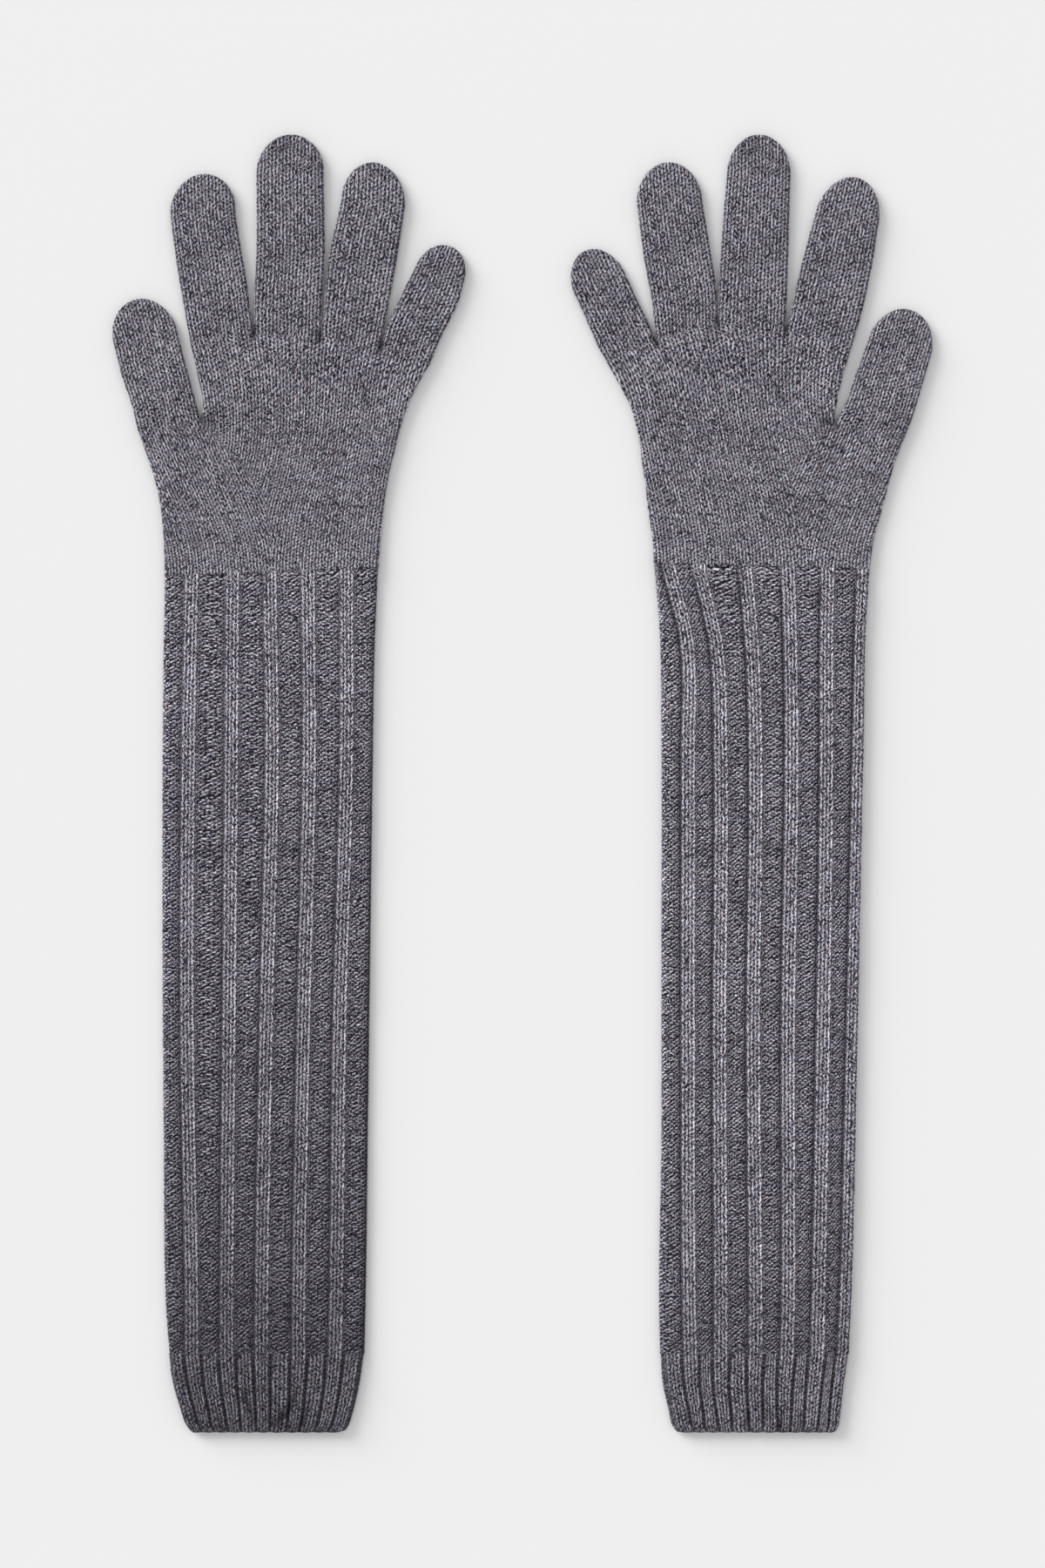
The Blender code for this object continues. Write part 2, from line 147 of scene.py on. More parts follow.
def skin(lines, share, face, fold, out=0.0, slide=0.0):
    """Points (rows, columns, xyz) of a flat tube's skin. `share` is how far round its layer a point is,
    `face` is 1 on the upper layer and -1 on the lower one, `out` pushes a point out along the normal
    and `slide` moves it along the tube. Also gives each point's upward part of the normal."""
    left, right = lines[:, None, :2], lines[:, None, 2:]
    width = np.linalg.norm(right - left, axis=2)
    sideways = (right - left) / np.maximum(width, 1e-6)[..., None]
    ahead = np.stack([-sideways[..., 1], sideways[..., 0]], axis=2)
    across, up, side_part, up_part = round_the_tube(width, share * layer_run(width, fold), fold)
    flat_part = (across + out * side_part)[..., None] * sideways + np.asarray(slide)[..., None] * ahead
    height = FOLD + face * (up + out * up_part)
    return np.concatenate([left + flat_part, height[..., None]], axis=2), face * up_part


def uneven(row, column):
    """A fixed scatter from 0 to 1, one value for each whole row and column."""
    return np.modf(np.abs(np.sin(12.9898 * np.floor(row) + 78.233 * np.floor(column)) * 43758.5453))[0]


def knit_face(wale, course):
    """Height from 0 to 1 of the knit side. A wale is two legs, highest midway between the wale's middle
    and its sides. The slits beside a leg close once a course, those in the wales' middles half a course
    later than those between the wales."""
    from_middle = np.abs(wale % 1 - 0.5) * 2
    leg = np.sin(np.pi * from_middle)
    closed = 0.5 - 0.5 * np.cos(2 * np.pi * (course + (from_middle > 0.5) / 2))
    size = 0.8 + 0.4 * uneven(2 * wale, course - LEG_RISE * from_middle + 0.5)
    return (leg + 0.6 * (1 - leg) * closed) * size


def purl_face(wale, course):
    """Height from 0 to 1 of the purl side: two dashes in each wale of every course, one in its left
    half and one in its right half and half a course higher."""
    row = course + np.floor(2 * wale) % 2 / 2
    size = 0.7 + 0.6 * uneven(2 * wale, row + 0.5)
    return (0.5 + 0.5 * np.cos(2 * np.pi * row)) * size


def course_ridges(course):
    """Height from 0 to 1 of the lower layer, which hasn't the points for stitches: one soft ridge to
    each course, as a cosine."""
    return 0.6 + 0.3 * np.cos(2 * np.pi * course)


def troughs_at(x, y, troughs, wider=1.0):
    """How deep the soft troughs are at a place: each is a bell across its line, `wider` times its own
    width, which tapers off towards both of its ends."""
    depth = np.zeros(np.broadcast(x, y).shape)
    for at_x, at_y, direction, length, width, deep in troughs:
        turn = np.radians(direction)
        along = (x - at_x) * np.cos(turn) + (y - at_y) * np.sin(turn)
        beside = (y - at_y) * np.cos(turn) - (x - at_x) * np.sin(turn)
        depth += deep * np.exp(-((beside / width / wider) ** 2) - (2 * along / length) ** 4)
    return depth


def lie_of_cloth(x, y):
    """The laid cloth's slow rise and fall, within a fifth of a millimetre, as three long waves."""
    waves = np.sin(x / 9.7 + y / 23 + 0.7) + np.sin(y / 13.1 - x / 17 + 2.1) + np.sin(x / 6.1 - y / 8.3)
    return 0.065 * waves


def row_wave(x, y):
    """How far the courses wander up and down at a place, in mm, as two crossing waves."""
    return 0.55 * np.sin(x / 7.3 + y / 31 + 1.3) + 0.35 * np.sin(x / 3.9 - y / 17 + 0.4)


def press_cloth(points, up_part, face, troughs):
    """Sinks the upper layer where it has troughs, lets it rise and fall a little, and gives the troughs'
    depth there. The lower layer's creases are wider, and shallow by the depth's hyperbolic tangent."""
    x, y = points[..., 0], points[..., 1]
    depth = troughs_at(x, y, troughs)
    under = UNDER_CREASE * np.tanh(troughs_at(x, y, troughs, UNDER_SPREAD))
    points[..., 2] += np.clip(up_part, 0, 1) * (lie_of_cloth(x, y) - depth)
    points[..., 2] += np.clip(-up_part, 0, 1) * under
    return depth * (face > 0)


def knitted_wall(name, side, outer, inner, knit, purl, shade, top_columns, closed_tip=False):
    """One closed wall from two grids of points: its outer skin up the tube and its inner skin back down.
    `knit` (outer rows, columns + 1, 2) counts wales and courses, and becomes the map that the wool's
    pattern follows. `purl` marks the purl side, and `shade` is how dark the wool is painted, from 0 to 1:
    partly its own tone and partly painted shade and highlights."""
    rows, columns = outer.shape[:2]
    back = inner[::-1]
    points = np.concatenate([outer, back])
    points[..., :2] += HEM_MIDDLE[side]
    total = len(points)
    # Corners of every quad: the next column closes round, and the last row joins the first.
    i, j = np.meshgrid(np.arange(total), np.arange(columns), indexing="ij")
    corner_rows = np.stack([i, i, i + 1, i + 1], axis=2)
    corner_columns = np.stack([j, j + 1, j + 1, j], axis=2)
    vertex = np.arange(total * columns).reshape(total, columns)
    if closed_tip:
        vertex[rows - 1] = vertex[rows - 1, 0]
        vertex[rows] = vertex[rows, 0]
    index = vertex[corner_rows % total, corner_columns % columns]
    back_knit = np.repeat(knit[-1:], len(back), axis=0)
    back_knit[..., 1] -= np.linspace(0.5, rows / 3, len(back))[:, None]
    knit_map = np.concatenate([knit, back_knit, back_knit[-1:]])
    # The bake's own map is the grid laid out flat, the upper layer with most of its width.
    far_edge = 1 - BAKE_EDGE
    bake_across = np.interp(
        np.arange(columns + 1), [0, top_columns, columns], [BAKE_EDGE, BAKE_UPPER, far_edge])
    bake_along = np.interp(np.arange(total + 1), [0, rows, total], [BAKE_EDGE, BAKE_OUTER, far_edge])
    bake_map = np.stack(np.broadcast_arrays(bake_across[None, :], bake_along[:, None]), axis=2)
    # At a closed tip each skin ends in triangles about one point.
    row = np.arange(total)
    outer_tip = closed_tip & (row == rows - 2)
    inner_tip = closed_tip & (row == rows)
    plain = ~(closed_tip & (np.abs(row - rows + 1) < 2))
    faces, maps = [], [[], []]
    for chosen, corners in ((plain, [0, 1, 2, 3]), (outer_tip, [0, 1, 2]), (inner_tip, [0, 2, 3])):
        faces += index[chosen][..., corners].reshape(-1, len(corners)).tolist()
        at = corner_rows[chosen][..., corners].ravel(), corner_columns[chosen][..., corners].ravel()
        maps[0].append(knit_map[at])
        maps[1].append(bake_map[at])
    mesh = bpy.data.meshes.new(name)
    mesh.from_pydata((points.reshape(-1, 3) * MM).tolist(), [], faces)
    for map_name, parts in zip(("Knit", "OFBake"), maps):
        layer = mesh.uv_layers.new(name=map_name)
        layer.uv.foreach_set("vector", np.concatenate(parts).astype(np.float32).ravel())
    inside = np.zeros((len(back), columns))
    for mark_name, mark in (("purl", purl), ("shade", shade)):
        attribute = mesh.attributes.new(mark_name, "FLOAT", "POINT")
        values = np.concatenate([np.broadcast_to(mark, (rows, columns)), inside])
        attribute.data.foreach_set("value", values.astype(np.float32).ravel())
    if closed_tip:
        drop_loose_points(mesh)
    mesh.shade_smooth()
    return put_in_scene(name, mesh)


def put_in_scene(name, data):
    """A new object in the scene, with this mesh, light or camera."""
    thing = bpy.data.objects.new(name, data)
    bpy.context.scene.collection.objects.link(thing)
    return thing


def drop_loose_points(mesh):
    """Takes out the points that no face uses: the spare ones of a row drawn into one point."""
    work = bmesh.new()
    work.from_mesh(mesh)
    bmesh.ops.delete(work, geom=[v for v in work.verts if not v.link_faces], context="VERTS")
    work.to_mesh(mesh)
    work.free()


def wire(tree, kind, *values, **settings):
    """A new node with its settings, and its inputs set or linked in order; None leaves one as it is."""
    node = tree.nodes.new("ShaderNode" + kind)
    for key, value in settings.items():
        setattr(node, key, value)
    for socket, value in zip(node.inputs, values):
        if isinstance(value, bpy.types.NodeSocket):
            tree.links.new(value, socket)
        elif value is not None:
            socket.default_value = value
    return node


def calculator(tree, kind="Math"):
    """A function that adds a Math or VectorMath node to the tree and gives its result."""
    return lambda operation, *values: wire(tree, kind, *values, operation=operation).outputs[0]


def mix(tree, kind, factor, one, other, **settings):
    """The result of a Mix node of kind FLOAT, VECTOR or RGBA, each of which has sockets of its own."""
    first = {"FLOAT": 2, "VECTOR": 4, "RGBA": 6}[kind]
    values = [factor] + [None] * (first - 1) + [one, other]
    return wire(tree, "Mix", *values, data_type=kind, **settings).outputs[first // 2 - 1]


def new_group(name, inputs, outputs):
    """An empty shader group with named sockets, and its input and output nodes."""
    tree = bpy.data.node_groups.new(name, "ShaderNodeTree")
    for in_out, sockets in (("INPUT", inputs), ("OUTPUT", outputs)):
        for label, kind in sockets:
            tree.interface.new_socket(label, in_out=in_out, socket_type="NodeSocket" + kind)
    return tree, tree.nodes.new("NodeGroupInput").outputs, tree.nodes.new("NodeGroupOutput").inputs


def make_stitch_group():
    """Stitches: a knit and a purl face like the mesh's, drawn from the knit map with slanted slits and
    with longer, slanted dashes. Height is near 0 in the gaps and 1 on the yarn. Yarn is a place that is
    the same all over one leg or one purl dash. Fibre is a place across the yarn in its first part and
    along it in its second."""
    tree, given, result = new_group(
        "Stitches", [("Knit map", "Vector"), ("Purl", "Float")],
        [("Height", "Float"), ("Yarn", "Vector"), ("Fibre", "Vector")])
    math, vectors = calculator(tree), calculator(tree, "VectorMath")

    def vector(*values):
        return wire(tree, "CombineXYZ", *values).outputs[0]

    # No two stitches sit quite alike: a fine noise shifts them about.
    most_shift = (0.3, 0.6, 0.0)  # wales and courses, from one side to the other
    jitter = wire(tree, "TexNoise", given["Knit map"], None, 0.9, 1.0, 0.5).outputs[1]
    jitter = vectors("MULTIPLY", vectors("SUBTRACT", jitter, (0.5, 0.5, 0.5)), most_shift)
    map_parts = wire(tree, "SeparateXYZ", vectors("ADD", given["Knit map"], jitter)).outputs
    wale, course = map_parts[0], map_parts[1]
    # The knit side: slits at every half wale, which lean to the right and close once a course.
    from_middle = math("MULTIPLY_ADD", math("PINGPONG", wale, 0.5), -2.0, 1.0)
    leg = math("SINE", math("MULTIPLY", from_middle, np.pi))
    halves = math("MULTIPLY", wale, 2.0)
    from_slit = math("SUBTRACT", math("FRACT", math("ADD", halves, 0.5)), 0.5)
    phase = math("MULTIPLY_ADD", math("GREATER_THAN", from_middle, 0.5), 0.5, course)
    phase = math("MULTIPLY_ADD", from_slit, -0.5, phase)
    closed = math("MULTIPLY_ADD", math("COSINE", math("MULTIPLY", phase, 2 * np.pi)), -0.35, 0.35)
    knit_height = math("MULTIPLY_ADD", math("SUBTRACT", 1.0, leg), closed, leg)
    legs = math("FLOOR", halves)
    climb = math("MULTIPLY_ADD", from_middle, -LEG_RISE, course)
    knit_row = math("ROUND", climb)
    up_leg = math("SUBTRACT", climb, knit_row)
    knit_yarn = vector(legs, knit_row)
    out_leg = math("MULTIPLY_ADD", from_middle, 3.4, math("MULTIPLY", up_leg, -1.2))
    along_leg = math("MULTIPLY_ADD", up_leg, 2.4, math("MULTIPLY", knit_row, 3.1))
    knit_fibre = vector(out_leg, along_leg, math("MULTIPLY", legs, 3.7))
    # The purl side: dashes over the wales' middles, and others half a course off over their sides. Each
    # lies a little high or low, and slants, by chance. They are rounded across and bowed along.
    uneven_rise, uneven_slant = 0.3, 0.6  # courses
    floor_height = 0.2  # of the gaps between dashes
    dashes = []
    for shift in (0.0, 0.5):
        moved = math("ADD", wale, shift)
        column = math("FLOOR", moved)
        across = math("SUBTRACT", math("SUBTRACT", moved, column), 0.5)
        ridge = math("MULTIPLY_ADD", across, -DASH_CLIMB, math("ADD", course, shift))
        row = math("ROUND", ridge)
        yarn = vector(math("ADD", column, 0.61 * shift), math("ADD", row, 0.37 * shift))
        chance = wire(tree, "TexWhiteNoise", yarn, noise_dimensions="3D").outputs[1]
        chance = wire(tree, "SeparateXYZ", chance).outputs
        from_ridge = math("SUBTRACT", ridge, row)
        from_ridge = math("MULTIPLY_ADD", math("SUBTRACT", chance[0], 0.5), uneven_rise, from_ridge)
        slant = math("SUBTRACT", 0.5, chance[1])
        from_ridge = math("MULTIPLY_ADD", math("MULTIPLY", across, slant), uneven_slant, from_ridge)
        thick = math("COSINE", math("MULTIPLY", from_ridge, 2 * np.pi))
        thick = math("POWER", math("MULTIPLY_ADD", thick, 0.5, 0.5), 1.2)
        bow = math("POWER", math("MAXIMUM", math("COSINE", math("MULTIPLY", across, np.pi)), 0.0), 0.7)
        along = math("MULTIPLY_ADD", across, 4.2, math("MULTIPLY", row, 3.1))
        fibre = vector(math("MULTIPLY", from_ridge, 5.0), along,
                       math("MULTIPLY", math("ADD", column, shift), 5.3))
        dashes.append((math("MULTIPLY", thick, bow), yarn, fibre))
    (low, low_yarn, low_fibre), (high, high_yarn, high_fibre) = dashes
    purl_height = math("MULTIPLY_ADD", math("MAXIMUM", low, high), 1 - floor_height, floor_height)
    tree.links.new(mix(tree, "FLOAT", given["Purl"], knit_height, purl_height), result["Height"])
    is_purl = math("GREATER_THAN", given["Purl"], 0.5)
    is_high = math("GREATER_THAN", high, low)
    for label, knit, one, other in (("Yarn", knit_yarn, low_yarn, high_yarn),
                                    ("Fibre", knit_fibre, low_fibre, high_fibre)):
        purl = mix(tree, "VECTOR", is_high, one, other)
        tree.links.new(mix(tree, "VECTOR", is_purl, knit, purl), result[label])


def make_marl_group():
    """Marled wool: dark, middle and pale fibres spun into one yarn. Each leg is drawn light or dark at
    random, longer streaks follow the courses, fibres show as fine flecks, and painted shade darkens the
    gaps. The Shade input carries the mesh's painted shade and highlights."""
    tree, given, result = new_group(
        "Marled wool",
        [("Knit map", "Vector"), ("Yarn", "Vector"), ("Fibre", "Vector"), ("Height", "Float"),
         ("Shade", "Float"), ("Fineness", "Float"), ("Contrast", "Float")],
        [("Colour", "Color"), ("Relief", "Float")])
    math, vectors = calculator(tree), calculator(tree, "VectorMath")

    def noise_over(offset, scale, roughness):
        place = wire(tree, "Mapping", given["Knit map"], offset, None, scale).outputs[0]
        return wire(tree, "TexNoise", place, None, 1.0, 2.0, roughness).outputs[0]

    by_leg = wire(tree, "TexWhiteNoise", given["Yarn"], noise_dimensions="3D").outputs[0]
    streaks = noise_over((0, 0, 0), (0.34, 1.1, 1.0), 0.6)
    clouds = noise_over((5.3, 2.7, 0), (0.11, 0.09, 1.0), 0.5)
    flecks = wire(tree, "TexNoise", given["Fibre"], None, given["Fineness"], 2.0, 0.6).outputs[0]
    # The tone is a half, which each noise moves by half of its amount at most.
    tone = math("MULTIPLY_ADD", math("SUBTRACT", flecks, 0.5), given["Contrast"], 0.5)
    for noise, amount in ((by_leg, 0.3), (streaks, 0.7), (clouds, 0.6)):
        tone = math("ADD", tone, math("MULTIPLY_ADD", noise, amount, -amount / 2))
    wool = wire(tree, "ValToRGB", tone)
    ramp = wool.color_ramp.elements
    ramp[0].position, ramp[0].color = 0.08, (0.012, 0.010, 0.018, 1)
    ramp[1].position, ramp[1].color = 0.97, (0.89, 0.875, 0.95, 1)
    ramp.new(0.46).color = (0.086, 0.083, 0.108, 1)
    # Some fibres lean warm and some cold.
    tint = noise_over((3.1, 7.7, 0), (0.9, 0.8, 1.0), 0.6)
    tint = wire(tree, "MapRange", tint, 0.35, 0.65, 0.0, 1.0).outputs[0]
    tinted = mix(tree, "RGBA", tint, (0.95, 0.99, 1.06, 1), (1.07, 0.98, 0.98, 1))
    coloured = mix(tree, "RGBA", 1.0, wool.outputs[0], tinted, blend_type="MULTIPLY")
    # Painted shade: low down between the yarns the colour goes dark, as if no light got in.
    open_part = wire(tree, "MapRange", given["Height"], 0.4, 0.97, 0.0, 0.96).outputs[0]
    # The mesh's Shade darkens or lightens the colour further: painted shade and highlights.
    light = math("MULTIPLY", open_part, math("SUBTRACT", 1.0, given["Shade"]))
    shaded = vectors("SCALE", coloured, None, None, light)
    # The painted shade between the stitches is a cold violet.
    tree.links.new(vectors("ADD", shaded, (0.002, 0.0, 0.006)), result["Colour"])
    fibre_relief = 0.35  # of a stitch's height
    tree.links.new(math("MULTIPLY_ADD", flecks, fibre_relief, given["Height"]), result["Relief"])


def make_wool(name, fineness, contrast):
    """A wool material: marled colour, stitch and fibre relief, matt with a little soft sheen. `fineness`
    and `contrast` are those of the fibres' flecks."""
    material = bpy.data.materials.new(name)
    material.use_nodes = True
    tree = material.node_tree
    shader = tree.nodes["Principled BSDF"]
    knit_map = wire(tree, "UVMap", uv_map="Knit").outputs[0]
    purl = wire(tree, "Attribute", attribute_name="purl").outputs["Fac"]
    shade = wire(tree, "Attribute", attribute_name="shade").outputs["Fac"]
    groups = bpy.data.node_groups
    stitches = wire(tree, "Group", knit_map, purl, node_tree=groups["Stitches"]).outputs
    marl = wire(tree, "Group", knit_map, stitches["Yarn"], stitches["Fibre"],
                stitches["Height"], shade, fineness, contrast, node_tree=groups["Marled wool"])
    bump = wire(tree, "Bump")
    bump.inputs["Strength"].default_value = 0.45
    bump.inputs["Distance"].default_value = 0.5 * MM
    tree.links.new(marl.outputs["Relief"], bump.inputs["Height"])
    tree.links.new(marl.outputs["Colour"], shader.inputs["Base Color"])
    tree.links.new(bump.outputs["Normal"], shader.inputs["Normal"])
    for label, value in (("Roughness", 0.95), ("Specular IOR Level", 0.2),
                         ("Sheen Weight", 0.12), ("Sheen Roughness", 0.6)):
        shader.inputs[label].default_value = value
    return material


def from_middle_of_rib(wale, period, middle):
    """How many wales to the right of the nearest rib's middle a place lies, below 0 on its left. Ribs
    lie `period` wales apart, and one of them lies at the count `middle`."""
    return (wale - middle + period / 2) % period - period / 2


def rib_columns(first, last, period, middle):
    """Wale counts of the grid's columns from the left fold to the right one: six to a knit wale, whose
    two legs need them, and two to a purl wale, one in each of its dashes. A rib is two knit wales, one
    on each side of its middle. A purl stretch has one column more at its start."""
    whole = np.arange(np.ceil(first), np.floor(last) + 1)
    stops = np.concatenate([[first], whole[(whole > first + 0.1) & (whole < last - 0.1)], [last]])
    parts = []
    for low, high in zip(stops[:-1], stops[1:]):
        is_knit = abs(from_middle_of_rib(low / 2 + high / 2, period, middle)) < 1
        steps = max(1, int(round((6 if is_knit else 2) * (high - low))))
        starts_stretch = low == first or abs(from_middle_of_rib(low, period, middle)) < 1.01
        if starts_stretch and not is_knit:
            parts.append([low])
        parts.append(low + (high - low) * (np.arange(steps) + (0 if is_knit else 0.5)) / steps)
    return np.append(np.concatenate(parts), last)


def draw_in(lines, amount):
    """The lines with both their ends drawn in by this amount."""
    inward = (lines[:, 2:] - lines[:, :2]) / widths(lines) * amount
    return np.concatenate([lines[:, :2] + inward, lines[:, 2:] - inward], axis=1)


def ribbed_wall(name, side, table, ribs_of, spread_of, period, middle, profile, mark_of, troughs):
    """A ribbed tube, three rows to a course. The arm's ribs lie `ribs_of` mm across, six wales apart, and
    `spread_of` gives how far from a rib's middle, in mm, the counts -2, -1, 1 and 2 lie. `profile` is
    a rib's height by wales from its middle, and `mark_of` gives how far the ribs stand out here, from 0
    to 1, and how dark the wool is painted, partly its own tone and partly painted shade and highlights.
    On the lower layer, columns at each rib's sides are enough."""
    length, run = lines_length(table)
    count = int(round(length / COURSE)) * 3
    is_hem = table[0][1] == 0
    at = np.linspace(0 if is_hem else -LAP, length, count + 1)
    lines = smooth_values(at, run, table)
    heights = (lines[:, 1:2] + lines[:, 3:]) / 2
    around = layer_run(widths(lines), FOLD)
    rib_places = ribs_of(heights[:, 0], lines) + (np.pi / 2 - 1) * FOLD
    # The wale counts at both folds, from the ribs nearest to them half-way up.
    half_way = count // 2
    rib_wale = 3 + 6 * np.arange(rib_places.shape[1])
    room = np.array([rib_places[half_way, 0], around[half_way, 0] - rib_places[half_way, -1]]) - RIB_HALF
    beyond = np.round(2 * room / PURL_WALE) / 2
    first_wale = rib_wale[0] - 1 - beyond[0]
    last_wale = rib_wale[-1] + 1 + max(beyond[1], 0)
    round_end = first_wale + ROUND_WALES
    top_wale = rib_columns(first_wale, last_wale, period, middle)
    under_wale = (np.arange(middle, round_end, period)[:, None] + (-1.35, -0.95, 0.95, 1.35)).ravel()
    under_wale = under_wale[(under_wale > last_wale + 0.3) & (under_wale < round_end - 0.3)]
    under_wale = np.append(under_wale, round_end)
    sides = (rib_places[:, :, None] + spread_of(heights)[:, None, :]).reshape(len(lines), -1)
    side_wales = (rib_wale[:, None] + (-2, -1, 1, 2)).ravel()
    inside = (sides < around - 0.2).all(axis=0)
    anchors = np.concatenate([0 * around, sides[:, inside], around], axis=1)
    anchor_wales = np.concatenate([[first_wale], side_wales[inside], [last_wale]])
    weights = np.array([np.interp(top_wale, anchor_wales, row) for row in np.eye(len(anchor_wales))])
    under_share = np.tile((round_end - under_wale) / (round_end - last_wale), (len(lines), 1))
    share = np.concatenate([anchors @ weights / around, under_share], axis=1)[:, :-1]
    all_wales = np.concatenate([top_wale, under_wale])[None]
    wale = all_wales[:, :-1]
    face = np.where(np.arange(wale.shape[1]) < len(top_wale), 1.0, -1.0)
    from_rib = from_middle_of_rib(wale, period, middle)
    rib = np.interp(from_rib, *np.transpose(profile))
    is_purl = np.abs(from_rib) > 1
    course = lines[0, 1] / COURSE + np.arange(count + 1)[:, None] / 3
    near_end = np.clip(np.minimum(course - course[0], course[-1] - course), 0, 1)
    stitch = np.where(is_purl, purl_face(wale, course), knit_face(wale, course))
    stitch = np.where(face > 0, stitch, course_ridges(course))
    upper = 0.5 + 0.5 * skin(lines, share, face, FOLD)[1]
    stand, shade = mark_of(side, heights, wale, from_rib)
    out = STITCH_DEPTH * (stitch - 1) + upper * (PROUD + rib * stand)
    out -= (1 - upper) * UNDER_HOLLOW * np.clip(-rib, 0, 1)
    rim = np.clip(1 - at[:, None] / HEM_ROUND, 0, 1) * is_hem
    out -= HEM_THIN * rim**2
    scallop = HEM_SCALLOP * np.cos(2 * np.pi * from_rib / 3) * rim
    slide = near_end * row_wave(share * around, heights) - scallop
    outer, up = skin(lines, share, face, FOLD, out, slide)
    # Painted shade in the pressed troughs.
    shade = shade + CREASE_SHADE * press_cloth(outer, up, face, troughs)
    some = np.linspace(0, count, INNER_ROWS).astype(int)
    inner, _ = skin(draw_in(lines[some], WALL), share[some], face, SLIT / 2)
    knit = np.stack(np.broadcast_arrays(all_wales, course), axis=2)
    return knitted_wall(name, side, outer, inner, knit, is_purl, shade, len(top_wale) - 1)


def cuff_ribs(side):
    """The arm's ribs carried down the cuff, drawn together as the cuff narrows."""
    seam = CUFF_LINES[side][-1]
    places = (np.array(SEAM_RIBS[side]) - seam[0]) / (seam[2] - seam[0])
    return lambda heights, lines: places * (lines[:, 2:3] - lines[:, :1])


def cuff_spread(heights):
    """Half an arm rib is drawn together towards the hem, and the purl wale beside it mostly hides."""
    half = np.interp(heights, (0, 12, 34), (2.3, 2.7, RIB_HALF))
    hidden = half + np.interp(heights, (0, 34), (0.9, 1.4))
    return np.concatenate([-hidden, -half, half, hidden], axis=1)


def stripe(from_rib, middle, width):
    """1 on a line `middle` wales from a rib's middle, and a bell of that width beside it."""
    return np.exp(-(((from_rib - middle) / width) ** 2))


def cuff_marks(side, heights, wale, from_rib):
    """Ribs that the arm hasn't got start at the cuff's top. The hollows between ribs are darkened with
    painted shade, and one leg of each rib is lightened with a painted highlight.
    """
    own = np.abs((wale + 3) % 6 - 3) < 1.5
    stand = np.where(own, np.clip((34 - heights) / 6, 0, 1), 1.0) * np.clip(0.3 + heights / 8, 0, 1)
    # Painted shade in the hollows between the ribs.
    hollow = stripe(np.abs(from_rib), 1.5, 0.4)
    painted_highlight = stripe(from_rib, *PAINTED_LIT_LEG)
    # Painted shade towards the hem, together with the wool's own tone.
    tone = np.interp(heights, *np.transpose(TONE_AND_SHADE[side]))
    start = np.where(own, 0.16 * np.clip((heights - 22) / 10, 0, 1), 0)
    return stand, 1 - tone * (1.03 - start - 0.6 * hollow * stand + 0.4 * painted_highlight)


make_stitch_group()
make_marl_group()
cuff_wool = make_wool("Cuff wool", 0.95, 9.0)
for side in ("left", "right"):
    cuff = ribbed_wall(side + "_cuff_knit", side, CUFF_LINES[side], cuff_ribs(side), cuff_spread, 3, 0,
                        CUFF_PROFILE, cuff_marks, CUFF_TROUGHS[side])
    cuff.data.materials.append(cuff_wool)
    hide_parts(side + "_cuff")
    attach(cuff, "root")

# ---- The arms ----
# The long arm is a wide rib of two knit wales and four purl wales, eleven times round. The knit ribs
# stand up from the purl stretches, with a groove along their steep left flank, deep in the mesh and
# darkened with painted shade. The fabric is twisted a little, so some ribs lean, and one of the right
# glove's lies along its side fold.

# A rib across, as before. The cloth dives into a groove on its left, and its right leg stands highest.
ARM_PROFILE = ((-1.95, 0), (-1.4, -0.8), (-1.1, 0.3), (-0.8, 0.7), (0.7, 1.0), (1.1, 0.5), (1.5, 0.0))
ARM_LINES = {
    "left": [(-42.5, 34, 41.5, 34), (-44, 54, 42, 54), (-45, 130, 43, 130), (-45.5, 205, 44, 205),
             (-45.5, 280, 45, 280), (-45, 340, 46, 340), (-44.5, 368.5, 47.5, 372)],
    "right": [(-40.5, 34, 40, 34), (-41, 54, 41, 54), (-40, 130, 43, 130), (-40, 205, 44.5, 205),
              (-40, 300, 46.5, 300), (-41, 350, 47.5, 350), (-43.5, 374, 49.5, 371.5)],
}
# The ribs' middles from left to right at some heights: height, then a place for each rib.
ARM_RIBS = {
    "left": [(34, -32.5, -17.5, -2.5, 13.5, 29), (54, -32.5, -17.5, -2.5, 13.5, 29.5),
             (174, -34.5, -16.5, -0.5, 15.5, 31), (290, -34, -15.5, 2, 18, 34),
             (371, -32.5, -15, 1, 17.5, 34)],
    "right": [(34, -27.5, -14.5, 0.5, 14, 27, 38.5), (54, -28, -14.5, 0.5, 14.5, 27.5, 39.5),
              (174, -28.5, -15, -0.5, 14.5, 29.5, 42.5), (290, -28.5, -14.5, 0.5, 16, 31, 45),
              (339, -29, -16.5, -1, 15.5, 31, 46), (371, -37, -24, -4, 14.5, 31.5, 47)],
}
HIDDEN_WALE = 1.8  # mm that shows of the purl wale beside a rib
# From the cuff up: some heights, how dark the painted shade in the groove beside a rib is there, as a
# part of the wool's own tone, and how light the painted highlight on the rib's right leg is.
SHADE_HEIGHTS = (34, 120, 250, 371)
GROOVE_SHADE = {"left": (1.1, 1.2, 1.1, 0.75), "right": (1.1, 1.25, 1.3, 1.3)}
LEG_LIGHT = (0.6, 0.7, 0.6, 0.3)
GROOVE = (-1.37, 0.32)  # the groove's painted shade: wales from its rib's middle, and wide
ARM_TROUGHS = {"left": [], "right": [(-38, 369, 118, 12, 1.6, 0.8), (-34, 371.5, 5, 9, 1.3, 0.6)]}


def soft_step(x, low, high):
    """0 below low, 1 above high, and a smooth climb between."""
    t = np.clip((x - low) / (high - low), 0, 1)
    return t * t * (3 - 2 * t)


